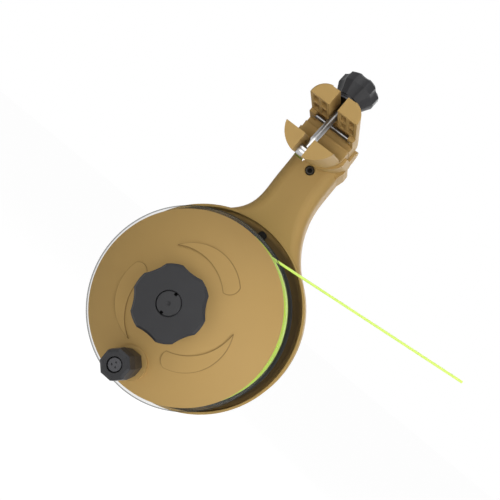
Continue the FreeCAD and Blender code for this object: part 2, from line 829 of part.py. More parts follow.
def head_outline():
    """Front view of the block behind the jaws, with two round corners at the top."""
    corner = Size(3)
    shoulder = head_side_bottom - 5
    return [(-arm_half, shoulder), (arm_half, shoulder), (head_half, head_side_bottom),
            (head_half, head_top - corner, corner), (head_half - corner, head_top),
            (corner - head_half, head_top, corner), (-head_half, head_top - corner),
            (-head_half, head_side_bottom)]


def slanted_block(body, name, front, half, bend, bottom):
    """Block with a round underside that rises toward the arm."""
    section = front_sketch(body, name, front)
    side_z = bend - bottom - leg(bend, half)
    outline(section, [(-half, side_z, bend), (half, side_z), (half, 0), (-half, 0)])
    block = pad(body, section, arm_top_front + 4 - front)
    block.UseCustomVector = True
    block.Direction = V(0, 1, lower_rise.value)


def make_arm_front_shell():
    body = new_body("arm_front_shell")
    levels = [head_top, Size(-8), Size(-23), Size(-34), Size(-45), Size(-55), Size(-63)]
    sections = [arm_section(body, level) for level in levels]
    sections.append(arm_foot(body))
    loft = body.newObject("PartDesign::AdditiveLoft", "arm_loft")
    loft.Profile = sections[0]
    loft.Sections = sections[1:]

    block = front_sketch(body, "head_block", shell_back)
    outline(block, head_outline())
    pad(body, block, shell_back - arm_top_front - 1.5)
    slanted_block(body, "head", head_front, head_half, head_round, head_bottom)
    slanted_block(body, "lower_jaw", -lower_front, jaw_half, lower_round, lower_bottom)

    top = side_sketch(body, "lower_jaw_top")
    lip_y = -rod_radius * sine(cradle_lip)
    lip_z = -rod_radius * cosine(cradle_lip)
    wrap = Size(3)
    outline(top, [(-lower_front - 1, -lower_edge - 0.2), (lip_y, lip_z, rod_radius),
                  (leg(rod_radius, wrap), wrap), (shell_back + 1, wrap), (shell_back + 1, 20),
                  (-lower_front - 1, 20)])
    pocket(body, top, 60, both=True)

    for side in (-1, 1):
        lug = side_sketch(body, "lug_%s" % ("left" if side < 0 else "right"), side * head_half)
        outline(lug, [(hinge_y - lug_radius, hinge_z - 4), (hinge_y + lug_radius, hinge_z - 4),
                      (hinge_y + lug_radius, hinge_z, lug_radius), (hinge_y - lug_radius, hinge_z)])
        pad(body, lug, head_half - lug_inner, flip=side > 0)
    gutter = side_sketch(body, "knuckle_gutter")
    circle(gutter, hinge_y, hinge_z, lug_radius + 0.3)
    pocket(body, gutter, 2 * lug_inner, both=True)
    pin_hole = side_sketch(body, "hinge_hole")
    circle(pin_hole, hinge_y, hinge_z, hinge_pin_radius)
    pocket(body, pin_hole, 2 * head_half - 4, both=True)

    add_dish(body)
    hollow_arm(body)
    cut_jaw_openings(body)


def about_dish_axis(body, kind, name, points):
    """Turn a profile of (y, radius) about the dish's axis, a little above the spool's."""
    profile = side_sketch(body, name)
    outline(profile, [(y, dish_z + radius) + tuple(bend) for y, radius, *bend in points])
    ends = (V(0, dish_z.value, 0), V(60, dish_z.value, 0))
    axis = profile.addGeometry(Part.LineSegment(*ends), True)
    for end, u in ((1, zero), (2, Size(60))):
        pin_point(profile, axis, end, u, dish_z)
    return lathe(body, kind, profile, "Axis0")


def add_dish(body):
    """Round dish with a thin lip, a flat floor and a boss for the axle."""
    recess = dish_radius - dish_lip
    corner = Size(3)
    mouth = dish_front - 2
    about_dish_axis(body, "Revolution", "dish", [
        (dish_floor, 0), (dish_floor, recess), (dish_front, recess), (dish_front, dish_radius),
        (shell_back, dish_radius), (shell_back, 0)])
    about_dish_axis(body, "Groove", "dish_recess", [
        (mouth, 0), (dish_floor, 0), (dish_floor, recess - corner, corner),
        (dish_floor - corner, recess), (mouth, recess)])
    about_dish_axis(body, "Groove", "dish_hollow", [
        (axle_seat, 0), (axle_seat, recess - 1), (shell_back + 1, recess - 1), (shell_back + 1, 0)])
    boss = front_sketch(body, "axle_boss", dish_floor + 1)
    circle(boss, zero, -spool_drop, dish_boss_radius)
    pad(body, boss, dish_floor + 1 - nut_back)
    bore = front_sketch(body, "axle_hole", nut_back - 1)
    circle(bore, zero, -spool_drop, axle_radius)
    pocket(body, bore, 30)
    posts = front_sketch(body, "cover_posts", shell_back)
    for x, z in cover_screw_places():
        circle(posts, x, z, hub_boss_radius)
        circle(posts, x, z, screw_shank)
    pad(body, posts, shell_back - axle_seat)


def cover_screw_places():
    """Places of the rear cover's screws: four round the dish, none in the arm."""
    places = ring_places(dish_radius - 9, 4, 45)
    return [(x, z + dish_z) for x, z in places]


def front_screw_places():
    """Places and head seats of the two screws that face the front."""
    return ((zero, Size(-14.2), Size(34.2)), (zero, Size(-62.4), dish_floor + 1.8))


def hollow_arm(body):
    """The arm is open behind, with a wall all round and a post for each front screw."""
    half = arm_half - arm_wall
    hollow = front_sketch(body, "arm_hollow", arm_hollow_front)
    foot = dish_z + dish_radius + 0.5
    outline(hollow, [(-half, foot), (half + 1.5, foot), (half, foot + 6),
                     (half, -arm_top_level - 2), (-half, -arm_top_level - 2)])
    pocket(body, hollow, 30)


def cut_jaw_openings(body):
    """Bolt slot in the lower jaw, its pin hole and the two screws' counterbores."""
    slot = side_sketch(body, "bolt_slot")
    outline(slot, [(-lower_front - 1, -40), (-slot_back - 4, -40), (-slot_back, -30),
                   (-slot_back, 10), (-lower_front - 1, 10)])
    pocket(body, slot, 2 * slot_half, both=True)
    pin = side_sketch(body, "eye_pin_hole")
    circle(pin, eye_y, eye_z, eye_pin_radius)
    pocket(body, pin, 2 * eye_pin_half, both=True)
    for number, (x, z, seat) in enumerate(front_screw_places()):
        bore = front_sketch(body, "screw_counterbore_%d" % (number + 1), -lower_front)
        circle(bore, x, z, screw_head + 0.45)
        pocket(body, bore, seat + lower_front)
        hole = front_sketch(body, "screw_clearance_%d" % (number + 1), seat - 1)
        circle(hole, x, z, screw_shank)
        pocket(body, hole, 30)


def make_rear_cover():
    """Flat rear half of the housing, with the arm's outline and the dish's round rim."""
    body = new_body("arm_rear_cover")
    about_dish_axis(body, "Revolution", "cover_disc", [
        (shell_back, 0), (shell_back, dish_radius), (cover_back - 0.8, dish_radius, -0.8),
        (cover_back, dish_radius - 0.8), (cover_back, 0)])
    arm = front_sketch(body, "cover_arm", cover_back)
    arm_outline(arm)
    pad(body, arm, cover_back - shell_back)
    holes = front_sketch(body, "cover_holes", shell_back - 1)
    for x, z in cover_screw_places():
        circle(holes, x, z, screw_shank + 0.1)
    pocket(body, holes, 5)
    posts = front_sketch(body, "screw_sockets", shell_back)
    head_place, foot_place = front_screw_places()
    circle(posts, foot_place[0], foot_place[1], hub_boss_radius)
    pad(body, posts, shell_back - axle_seat - 0.3)
    threads = front_sketch(body, "screw_threads", axle_seat - 1)
    for x, z, seat in (head_place, foot_place):
        circle(threads, x, z, screw_shank)
    pocket(body, threads, 6)


def make_arm_screws():
    """Two black socket screws, heads to the front: one under the jaw, one at the arm's foot."""
    body = new_body("arm_screws")
    for number, (x, z, seat) in enumerate(front_screw_places()):
        head = front_sketch(body, "arm_screw_head_%d" % (number + 1), seat)
        circle(head, x, z, screw_head)
        pad(body, head, screw_head_height)
        shank = front_sketch(body, "arm_screw_shank_%d" % (number + 1), cover_back - 0.4)
        circle(shank, x, z, screw_shank)
        pad(body, shank, cover_back - 0.4 - seat)
        socket = front_sketch(body, "arm_screw_socket_%d" % (number + 1), seat - screw_head_height)
        hexagon(socket, Size(1.3), x, z)
        pocket(body, socket, screw_head_height * 0.6)


def make_cover_screws():
    places = [(x, z + spool_drop) for x, z in cover_screw_places()]
    screw_group("cover_screws", places, screw_head, screw_head_height * 0.7, screw_shank,
                Size(5), cover_back, True, Size(1.2))


def pin_along_x(label, y, z, radius, half_length):
    """Plain round pin parallel to the rod, with softened ends."""
    body = new_body(label)
    blank = side_sketch(body, label + "_round")
    circle(blank, y, z, radius)
    rod = pad(body, blank, 2 * half_length, both=True)
    soften(body, "Chamfer", rod, 0.3, lambda edge: len(edge.Vertexes) < 2)


def make_upper_jaw():
    """Hinged jaw: a D-shaped block, slotted for the bolt, cored out below and open over the rod."""
    body = new_body("upper_jaw")
    block = front_sketch(body, "jaw_block", jaw_back)
    shoulder = upper_top - upper_round
    wall_bottom = head_top + 0.4
    flat = jaw_half - upper_round
    outline(block, [(-jaw_half, wall_bottom), (jaw_half, wall_bottom),
                    (jaw_half, shoulder, upper_round), (flat, upper_top),
                    (-flat, upper_top, upper_round), (-jaw_half, shoulder)])
    blank = pad(body, block, jaw_back + upper_front)
    soften(body, "Fillet", blank, 1.2,
           lambda edge: in_front(edge, -upper_front) and edge.BoundBox.ZMax > upper_face.value)
    under = side_sketch(body, "under_cut")
    outline(under, [(-upper_front - 1, 0), (mouth_back, 0), (mouth_back, cheek_bottom),
                    (upper_face_back, cheek_bottom), (upper_face_back, upper_face),
                    (-upper_front - 1, upper_face)])
    pocket(body, under, 60, both=True)
    mouth = side_sketch(body, "mouth")
    outline(mouth, [(upper_face_back, 0), (mouth_back, 0), (mouth_back, mouth_roof),
                    (upper_face_back, mouth_roof)])
    pocket(body, mouth, 2 * cheek_inner, both=True)
    slot = sketch_on(body, "upper_slot", "XY_Plane", zero)
    outline(slot, [(-upper_slot_half, -upper_front - 1), (upper_slot_half, -upper_front - 1),
                   (upper_slot_half, upper_slot_back, upper_slot_half),
                   (-upper_slot_half, upper_slot_back)])
    pocket(body, slot, 40, flip=True)
    seat = side_sketch(body, "washer_seat")
    reach = seat_height - gap
    seat_end = Size(-1.7)
    edge_z = eye_z + leg(reach, seat_end - eye_y)
    front_z = eye_z + leg(reach, upper_front + 1 + eye_y)
    outline(seat, [(-upper_front - 1, front_z, -reach), (seat_end, edge_z), (seat_end, 25),
                   (-upper_front - 1, 25)])
    pocket(body, seat, 2 * clamp_washer_radius + 1.2, both=True)

    cell_wall = Size(1.6)
    cell_x = (jaw_half - upper_slot_half - 3 * cell_wall) / 2
    cell_y = (upper_front + upper_face_back - 3 * cell_wall - 1) / 2
    cells = sketch_on(body, "core_cells", "XY_Plane", upper_face - 1)
    for side in (-1, 1):
        for column in range(2):
            for row in range(2):
                near = upper_slot_half + cell_wall + (cell_x + cell_wall) * column
                back = -upper_front + cell_wall + 0.6 + (cell_y + cell_wall) * row
                box(cells, min(side * near, side * (near + cell_x), key=lambda s: s.value), back,
                    max(side * near, side * (near + cell_x), key=lambda s: s.value), back + cell_y)
    pocket(body, cells, 6.5, flip=True)

    knuckle = side_sketch(body, "knuckle")
    neck_y = jaw_back - 1
    neck_z = hinge_z - 1
    outline(knuckle, [(neck_y, neck_z), (hinge_y - leg(knuckle_radius, 1), neck_z, knuckle_radius),
                      (hinge_y + knuckle_radius, hinge_z, knuckle_radius),
                      (hinge_y, hinge_z + knuckle_radius), (neck_y, hinge_z + 9)])
    pad(body, knuckle, 2 * knuckle_half, both=True)
    pin_hole = side_sketch(body, "knuckle_hole")
    circle(pin_hole, hinge_y, hinge_z, hinge_pin_radius + gap)
    pocket(body, pin_hole, 40, both=True)
    grip = side_sketch(body, "grip_hole")
    circle(grip, grip_y, grip_z, grip_radius)
    pocket(body, grip, 2 * cheek_inner + 4, both=True)


def along_bolt(label, points):
    """A piece turned about the swing bolt's leaning axis: its points are (radius, distance)."""
    body = new_body(label, zero, eye_y, eye_z)
    body.Placement = FreeCAD.Placement(body.Placement.Base, FreeCAD.Rotation(V(1, 0, 0), -bolt_lean.value))
    body.setExpression("Placement.Rotation.Angle", "(0 - 1 * %s) * 1 deg" % bolt_lean.text)
    if points:
        profile = front_sketch(body, label + "_profile")
        outline(profile, points)
        lathe(body, "Revolution", profile, "V_Axis")
    return body


def make_swing_bolt():
    """Eye bolt: a flat-sided eye, a plain shank and a thread that ends inside the knob."""
    body = along_bolt("swing_bolt", [])
    eye = side_sketch(body, "eye")
    circle(eye, zero, zero, eye_radius)
    pad(body, eye, 2 * eye_half, both=True)
    shank = sketch_on(body, "shank", "XY_Plane", zero)
    circle(shank, zero, zero, bolt_radius)
    pad(body, shank, seat_height + 12)
    hole = side_sketch(body, "eye_hole")
    circle(hole, zero, zero, eye_pin_radius + gap)
    pocket(body, hole, 40, both=True)


def make_clamp_knob():
    """Washer, and the lobed knob on a round neck with its brass insert."""
    bore = bolt_radius + gap
    washer_top = seat_height + clamp_washer_height
    along_bolt("clamp_washer", [(bore, seat_height), (clamp_washer_radius, seat_height),
                                (clamp_washer_radius, washer_top), (bore, washer_top)])
    insert = Size(4)
    insert_top = clamp_knob_base + 6
    knob_valley = clamp_knob_radius - 1.2
    body = along_bolt("clamp_knob", [
        (insert, washer_top), (clamp_neck_radius, washer_top), (clamp_neck_radius, washer_top + 1),
        (insert, washer_top + 1)])
    waist = washer_top + 1
    lower = clamp_knob_base + 2
    upper = clamp_knob_top - 1.8
    bevel(body, "knob_under", "XY_Plane", waist, lower, clamp_turn,
          (clamp_neck_radius + 0.6, clamp_neck_radius), (clamp_knob_radius, knob_valley))
    grip = sketch_on(body, "knob_grip", "XY_Plane", lower)
    lobed(grip, clamp_knob_radius, knob_valley, lobes, clamp_turn)
    pad(body, grip, upper - lower)
    bevel(body, "knob_over", "XY_Plane", upper, clamp_knob_top, clamp_turn,
          (clamp_knob_radius, knob_valley), (clamp_knob_radius - 2, knob_valley - 2))
    socket = sketch_on(body, "knob_bore", "XY_Plane", washer_top - 1)
    circle(socket, zero, zero, insert)
    pocket(body, socket, insert_top - washer_top + 1, flip=True)
    along_bolt("clamp_knob_insert", [(bore, washer_top), (insert, washer_top), (insert, insert_top),
                                     (bore, insert_top)])


def make_free_line():
    """The stretch of line that runs off the top of the winding toward the right."""
    lean = 90 + line_climb
    start_x = line_reach * cosine(lean)
    start_z = line_reach * sine(lean)
    body = new_body("free_line", zero, line_depth, -spool_drop)
    body.setExpression("Placement.Base.x", start_x.text)
    body.setExpression("Placement.Base.z", (start_z - spool_drop).text)
    section = side_sketch(body, "line_section")
    circle(section, zero, zero, line_radius)
    pad(body, section, line_length)
    body.Placement = FreeCAD.Placement(body.Placement.Base, FreeCAD.Rotation(V(0, 1, 0), -line_climb.value))
    body.setExpression("Placement.Rotation.Angle", "(0 - 1 * %s) * 1 deg" % line_climb.text)


def build():
    make_front_disc()
    make_clear_flange()
    make_spool_hub()
    make_rear_flange()
    make_line_winding()
    make_spool_screws()
    make_bearing("front_bearing", -bearing_front)
    make_bearing("rear_bearing", core_rear - bearing_width)
    make_crank()
    make_axle()
    make_drag()
    make_arm_front_shell()
    make_rear_cover()
    make_arm_screws()
    make_cover_screws()
    pin_along_x("jaw_hinge_pin", hinge_y, hinge_z, hinge_pin_radius, head_half - 2)
    pin_along_x("swing_bolt_pin", eye_y, eye_z, eye_pin_radius, eye_pin_half)
    pin_along_x("grip_pin", grip_y, grip_z, grip_radius, cheek_inner + 2)
    make_upper_jaw()
    make_swing_bolt()
    make_clamp_knob()
    make_free_line()
    doc.recompute()


def faults():
    """Objects that failed, cuts that remove nothing, and pieces without a valid solid."""
    found = []
    for item in doc.Objects:
        if "Invalid" in item.State or "Error" in item.State:
            found.append("%s is %s" % (item.Label, item.State))
        cuts = item.TypeId in ("PartDesign::Pocket", "PartDesign::Groove") and item.BaseFeature
        if cuts and not item.Shape.isNull() and not item.BaseFeature.Shape.isNull():
            removed = item.BaseFeature.Shape.Volume - item.Shape.Volume
            if removed <= 0:
                found.append("%s removes %.3f mm3" % (item.Label, removed))
    for label, item in parts.items():
        if item.Shape.isNull() or not item.Shape.isValid() or item.Shape.Volume <= 0:
            found.append("%s has no valid shape" % label)
    return found


build()
problems = faults()
if problems:
    raise RuntimeError("\n".join(problems))
os.makedirs("parts", exist_ok=True)
for label, item in parts.items():
    item.Shape.exportStep("parts/%s.step" % label)
print("wrote", len(parts), "parts")
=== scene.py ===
"""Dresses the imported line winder: finishes for its moulded, turned and polished pieces, the wound
turns of line, the loose line, and a pale studio."""

import math
from collections import namedtuple

import bmesh
import bpy
from bpy.props import FloatProperty, FloatVectorProperty, PointerProperty
from mathutils import Matrix, Vector


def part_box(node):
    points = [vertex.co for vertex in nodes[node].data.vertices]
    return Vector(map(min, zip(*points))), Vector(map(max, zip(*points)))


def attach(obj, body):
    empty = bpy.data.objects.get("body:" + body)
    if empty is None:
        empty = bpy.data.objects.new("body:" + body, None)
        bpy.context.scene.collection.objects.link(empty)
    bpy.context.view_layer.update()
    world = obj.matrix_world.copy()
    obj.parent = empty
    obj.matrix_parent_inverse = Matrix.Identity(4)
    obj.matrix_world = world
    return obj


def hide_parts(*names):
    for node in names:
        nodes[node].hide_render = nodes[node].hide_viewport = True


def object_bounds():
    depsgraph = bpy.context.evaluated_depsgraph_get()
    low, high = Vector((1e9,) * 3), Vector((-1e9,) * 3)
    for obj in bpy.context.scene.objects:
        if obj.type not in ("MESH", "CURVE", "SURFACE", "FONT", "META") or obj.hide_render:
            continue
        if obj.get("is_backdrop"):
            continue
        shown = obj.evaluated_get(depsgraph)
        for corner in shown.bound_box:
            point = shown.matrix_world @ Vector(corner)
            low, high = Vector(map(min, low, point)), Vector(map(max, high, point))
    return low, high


bl_info = {
    "name": "Line Winder Dressing",
    "version": (1, 0, 0),
    "blender": (4, 5, 0),
    "location": "View3D > Sidebar > Line Winder",
    "description": "Finishes, wound line and studio for a rod-clamped line winder",
    "category": "Object",
}

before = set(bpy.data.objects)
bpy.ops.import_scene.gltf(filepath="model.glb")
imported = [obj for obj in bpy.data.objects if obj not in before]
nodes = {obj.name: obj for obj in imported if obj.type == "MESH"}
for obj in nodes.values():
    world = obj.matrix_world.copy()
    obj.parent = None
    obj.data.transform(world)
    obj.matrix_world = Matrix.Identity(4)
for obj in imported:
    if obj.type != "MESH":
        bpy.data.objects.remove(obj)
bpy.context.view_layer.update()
MM = 0.001


def centre_of(node):
    low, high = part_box(node)
    return (Vector(low) + Vector(high)) / 2


def polar(radius, degrees):
    """Point at a distance and an angle from a centre, in front view."""
    turn = math.radians(degrees)
    return Vector((radius * math.cos(turn), radius * math.sin(turn)))


# ---- Places on the solids that the finishes and the new pieces keep to ----

spool_centre = centre_of("spool_hub")

# One crescent of the disc in front view: its tip, and the outer and inner end of its round head.
# A bend is the radius of the arc to the next corner, and a positive one turns left. The sector
# is the third of a turn that this crescent has to itself.
TIP_TURN = 132
HEAD_TURN = 55
CRESCENT_TIP = polar(33 * MM, TIP_TURN)
CRESCENT_OUTER = polar(34 * MM, HEAD_TURN)
CRESCENT_INNER = polar(24.8 * MM, HEAD_TURN)
OUTER_BEND = -26.7 * MM
INNER_BEND = 29.5 * MM
HEAD_BEND = -5.8 * MM
SECTOR_START = 45
SECTOR_END = 165
# Half width of the lines of painted shade along each crescent's step.
SHADE_LINE_HALF_WIDTH = 0.3 * MM

# The dish behind the spool, and how painted shade darkens its floor from the wall inwards and with
# depth.
DISH_MOUTH = (0, 36.5 * MM, spool_centre.z + 1.6 * MM)
DISH_FLOOR_EDGE = 61.8 * MM
DISH_FLOOR_DARK = 59.3 * MM
DISH_DARK_DEPTH = 7 * MM

# The notches at the edge of the drag knob's cap, which are painted dark as shade.
NOTCH_HALF_WIDTH = 0.95 * MM
NOTCH_START = 4.9 * MM
NOTCH_BLUR = 0.25 * MM

# The screw below the jaw: its place, its socket, and the ring of its head that is painted lighter
# as a painted highlight.
HEAD_SCREW = (0, 0, -14.2 * MM)
HEAD_SCREW_SOCKET = 1.4 * MM
HEAD_SCREW_RIM = 2.5 * MM
HEAD_SCREW_BLUR = MM / 3

# The swing bolt, measured from its eye along its leaning axis.
BOLT_EYE = (0, -18.8 * MM, -17.2 * MM)
BOLT_LEAN = math.radians(14)
SHANK_START = 9 * MM
SHANK_BLUR = 5 * MM / 3
THREAD_START = 27 * MM
THREAD_BLUR = 0.5 * MM
THREAD_FLANK = 0.35 * MM

# The clear flange: how wide its cut rim shows.
CLEAR_RIM_WIDTH = 0.45 * MM
CLEAR_RIM_BLUR = 0.2 * MM

# The winding: its inner radius, its reach in front and behind, and the depths along Y between
# which a soft shoulder joins the two.
DRUM_RADIUS = 24 * MM
FRONT_REACH = 48 * MM
REAR_REACH = 55.5 * MM
SHOULDER_START = 6.5 * MM
SHOULDER_END = 14 * MM

# The loose line: how far from the spool's axis and how deep it leaves the winding.
LINE_REACH = 49.2 * MM
LINE_DEPTH = 4 * MM


# ---- Studio ----

LAMP_AIM = Vector((0, 0, -0.10))
# Name, turn and rise in degrees, distance and width in metres, and share of the lamp power.
LAMPS = (
    ("front_lamp", 0, -10, 0.75, 0.5, 1.0),
    ("high_lamp", 0, 60, 0.75, 0.5, 1.0),
    ("right_lamp", 35, 10, 0.75, 0.5, 0.62),
    ("side_lamp", 60, -14, 0.46, 0.3, 0.42),
    ("low_lamp", -70, -45, 0.75, 0.5, 0.35),
    ("rear_lamp", 160, 25, 0.75, 0.5, 1.0),
)
FLOOR_HALF_WIDTH = 6
FLOOR_GLOW = 1.2
FLOOR_GLOW_SHARE = 0.8
WORLD_LIGHT = 0.1
CAMERA_PLACE = Vector((0.0744, -0.3792, -0.0819))
CAMERA_FORWARD = Vector((-0.17217, 0.98490, 0.01839))
CAMERA_ROLL = math.radians(39.29)
CAMERA_LENS = 50
CAMERA_SENSOR = 36


# ---- Shader helpers ----

class Wire:
    """One value in a material's node tree, so that shader maths reads as sums."""

    def __init__(self, tree, socket):
        self.tree = tree
        self.socket = socket

    @staticmethod
    def plug(tree, value, socket):
        if isinstance(value, Wire):
            tree.links.new(value.socket, socket)
        else:
            socket.default_value = value

    @staticmethod
    def combine(tree, operation, *values, clamp=False):
        node = tree.nodes.new("ShaderNodeMath")
        node.operation = operation
        node.use_clamp = clamp
        for socket, value in zip(node.inputs, values):
            Wire.plug(tree, value, socket)
        return Wire(tree, node.outputs[0])

    def __add__(self, other):
        return Wire.combine(self.tree, "ADD", self, other)

    def __radd__(self, other):
        return self + other

    def __sub__(self, other):
        return Wire.combine(self.tree, "SUBTRACT", self, other)

    def __rsub__(self, other):
        return Wire.combine(self.tree, "SUBTRACT", other, self)

    def __mul__(self, other):
        return Wire.combine(self.tree, "MULTIPLY", self, other)

    def __rmul__(self, other):
        return self * other

    def __truediv__(self, other):
        return Wire.combine(self.tree, "DIVIDE", self, other)

    def __pow__(self, other):
        return Wire.combine(self.tree, "POWER", self, other)

    def clamped(self):
        return Wire.combine(self.tree, "ADD", self, 0.0, clamp=True)

    def beside(self, output):
        """Another output of the node that this value comes from."""
        return Wire(self.tree, self.socket.node.outputs[output])


class Bench:
    """A node tree under construction."""

    def __init__(self, tree):
        self.tree = tree

    def node(self, kind, settings=None, inputs=None, output=0):
        """A node of the given type: its settings first, then values or links for its sockets."""
        made = self.tree.nodes.new(kind)
        for key, value in (settings or {}).items():
            setattr(made, key, value)
        for key, value in (inputs or {}).items():
            Wire.plug(self.tree, value, made.inputs[key])
        return Wire(self.tree, made.outputs[output])

    def background_rays(self):
        """1 for rays that show the background, in the picture, in a gloss or through glass."""
        camera = self.node("ShaderNodeLightPath", output="Is Camera Ray")
        glossy = camera.beside("Is Glossy Ray")
        through = camera.beside("Is Transmission Ray")
        return (camera + glossy + through).clamped()


FrontView = namedtuple("FrontView", "across behind up reach")


class Finish(Bench):
    """A material under construction: a Principled shader and the nodes that feed it."""

    def __init__(self, name, **values):
        self.material = bpy.data.materials.new(name)
        self.material.use_nodes = True
        super().__init__(self.material.node_tree)
        self.shader = self.tree.nodes["Principled BSDF"]
        self.output = self.tree.nodes["Material Output"]
        self.place = self.node("ShaderNodeTexCoord", output="Object")
        for socket, value in values.items():
            self.feed(socket.replace("_", " "), value)

    def feed(self, socket, value):
        Wire.plug(self.tree, value, self.shader.inputs[socket])

    def noise(self, size, detail=3.0, roughness=0.5):
        """Soft noise whose blotches are about the given size in metres, from 0 to 1."""
        return self.node("ShaderNodeTexNoise", inputs={
            "Vector": self.place, "Scale": 1 / size, "Detail": detail, "Roughness": roughness})

    def blend(self, factor, first, second):
        """Colour between two colours."""
        return self.node("ShaderNodeMix", {"data_type": "RGBA"},
                         {"Factor": factor, 6: first, 7: second}, output=2)

    def maths(self, operation, *values):
        return Wire.combine(self.tree, operation, *values)

    def apart_from(self, centre):
        """Steps from a given point to the shaded one, as a vector."""
        return self.node("ShaderNodeVectorMath", {"operation": "SUBTRACT"},
                         {0: self.place, 1: tuple(centre)})

    def front_view(self, centre):
        """Steps right of, behind and above a centre, and the distance from it, in front view."""
        across = self.node("ShaderNodeSeparateXYZ", inputs={0: self.apart_from(centre)})
        behind = across.beside(1)
        up = across.beside(2)
        return FrontView(across, behind, up, (across * across + up * up) ** 0.5)

    def bump(self, height, distance, strength=1.0):
        normal = self.node("ShaderNodeBump", inputs={
            "Height": height, "Distance": distance, "Strength": strength})
        self.feed("Normal", normal)


def ramp(value, start, end):
    """0 at the start, 1 at the end, straight between them and level outside."""
    return ((value - start) / (end - start)).clamped()


def shade(colour, factor):
    """A colour made darker or lighter, as RGBA."""
    return (colour[0] * factor, colour[1] * factor, colour[2] * factor, 1.0)


# ---- Sizes and colours that a user would change ----

class WinderSizes(bpy.types.PropertyGroup):
    line_diameter: FloatProperty(
        name="Line diameter", description="Thickness of the wound and the loose line",
        default=1.5 * MM, min=0.3 * MM, max=3 * MM, unit="LENGTH")
    floor_drop: FloatProperty(
        name="Floor drop", description="Clear height between the dish and the floor",
        default=0.12, min=0.0, max=1.0, unit="LENGTH")
    lamp_power: FloatProperty(
        name="Lamp power", description="Power of the large lamp in front; the others follow it",
        default=1.93, min=0.0, unit="POWER")


class WinderColours(bpy.types.PropertyGroup):
    moulding: FloatVectorProperty(
        name="Moulding", description="Tan plastic of the disc, arm and jaws",
        subtype="COLOR", size=3, default=(0.470, 0.302, 0.105), min=0, max=1)
    black: FloatVectorProperty(
        name="Black plastic", description="Knobs, handle, hub and rear flange",
        subtype="COLOR", size=3, default=(0.022, 0.022, 0.024), min=0, max=1)
    line: FloatVectorProperty(
        name="Line", description="Bright monofilament",
        subtype="COLOR", size=3, default=(0.49, 0.72, 0.025), min=0, max=1)


# ---- Finishes ----

def moulded_tan(name="moulded_tan", painted_shade=None):
    """Fine spark-textured plastic, a little uneven in colour and gloss.

    The optional function gives where painted shade darkens the plastic, from 0 to 1.
    """
    base = bpy.context.scene.winder_colours.moulding
    paint = Finish(name, Specular_IOR_Level=0.22)
    cloud = paint.noise(30 * MM, 2.0)
    grain = paint.noise(0.45 * MM, 2.0)
    tone = paint.blend(cloud, shade(base, 0.96), shade(base, 1.04))
    speck = ((grain - 0.62) * 6).clamped() * 0.10
    tone = paint.blend(speck, tone, shade(base, 0.7))
    if painted_shade:
        # Painted shade: the plastic is darkened where the given function says.
        tone = paint.blend(painted_shade(paint), tone, shade(base, 0.2))
    paint.feed("Base Color", tone)
    paint.feed("Roughness", 0.55 + cloud * 0.06 + grain * 0.08)
    paint.bump(grain, 0.03 * MM, 0.6)
    return paint.material


def arc_centre(start, end, bend):
    """Centre of the short arc between two points; a positive bend turns left."""
    half = (end - start) / 2
    left = Vector((-half.y, half.x)).normalized()
    return start + half + left * math.copysign(math.sqrt(bend ** 2 - half.length ** 2), bend)


def crescent_painted_shade(paint):
    """Thin lines of painted shade in the steps round the disc's three crescents.

    The turn is wrapped into one sector, so one crescent's lines serve for all three.
    """
    spot = paint.front_view(spool_centre)
    turn = paint.maths("WRAP", paint.maths("ARCTAN2", spot.up, spot.across),
                       math.radians(SECTOR_END), math.radians(SECTOR_START))
    across = spot.reach * paint.maths("COSINE", turn)
    up = spot.reach * paint.maths("SINE", turn)
    head = math.radians(HEAD_TURN)
    tip = math.radians(TIP_TURN)
    blur = 1 / 300
    past_head = ramp(turn, head, head + blur)
    in_body = past_head * ramp(turn, tip, tip - blur)
    lines = 0.0
    for start, end, bend, part in ((CRESCENT_TIP, CRESCENT_OUTER, OUTER_BEND, in_body),
                                   (CRESCENT_INNER, CRESCENT_TIP, INNER_BEND, in_body),
                                   (CRESCENT_OUTER, CRESCENT_INNER, HEAD_BEND, 1 - past_head)):
        centre = arc_centre(start, end, bend)
        side = across - centre.x
        rise = up - centre.y
        off = paint.maths("ABSOLUTE", (side * side + rise * rise) ** 0.5 - abs(bend))
        lines = ramp(off, SHADE_LINE_HALF_WIDTH, 0) * part + lines
    return lines.clamped() * 0.55


def dish_painted_shade(paint):
    """Painted shade that darkens the plastic on the floor of the dish behind the spool."""
    spot = paint.front_view(DISH_MOUTH)
    deep = ramp(spot.behind, 0, DISH_DARK_DEPTH)
    return ramp(spot.reach, DISH_FLOOR_EDGE, DISH_FLOOR_DARK) * deep * 0.8


def moulded_black(name="moulded_black", lift=1.0, gloss=0.40, pits=None):
    """Black satin plastic with a fine mould texture.

    The optional function gives where painted shade makes deep pits nearly black, from 0 to 1.
    """
    base = bpy.context.scene.winder_colours.black
    paint = Finish(name, Specular_IOR_Level=0.25)
    grain = paint.noise(0.5 * MM, 2.0)
    cloud = paint.noise(12 * MM, 2.0)
    tone = paint.blend(cloud, shade(base, 0.85 * lift), shade(base, 1.25 * lift))
    if pits:
        # Painted shade: the pits are painted nearly black.
        pit = pits(paint)
        tone = paint.blend(pit, tone, shade(base, 0.05))
        paint.feed("Metallic", pit)
    paint.feed("Base Color", tone)
    paint.feed("Roughness", gloss + grain * 0.10)
    paint.bump(grain, 0.03 * MM, 0.5)
    return paint.material


def cap_notches(paint):
    """The two key notches at the edge of the knob's cap, above and below its middle, where shade is
    painted.
    """
    spot = paint.front_view(spool_centre)
    beside = paint.maths("ABSOLUTE", spot.across)
    narrow = ramp(beside, NOTCH_HALF_WIDTH, NOTCH_HALF_WIDTH - NOTCH_BLUR)
    return narrow * ramp(spot.reach, NOTCH_START, NOTCH_START + NOTCH_BLUR)


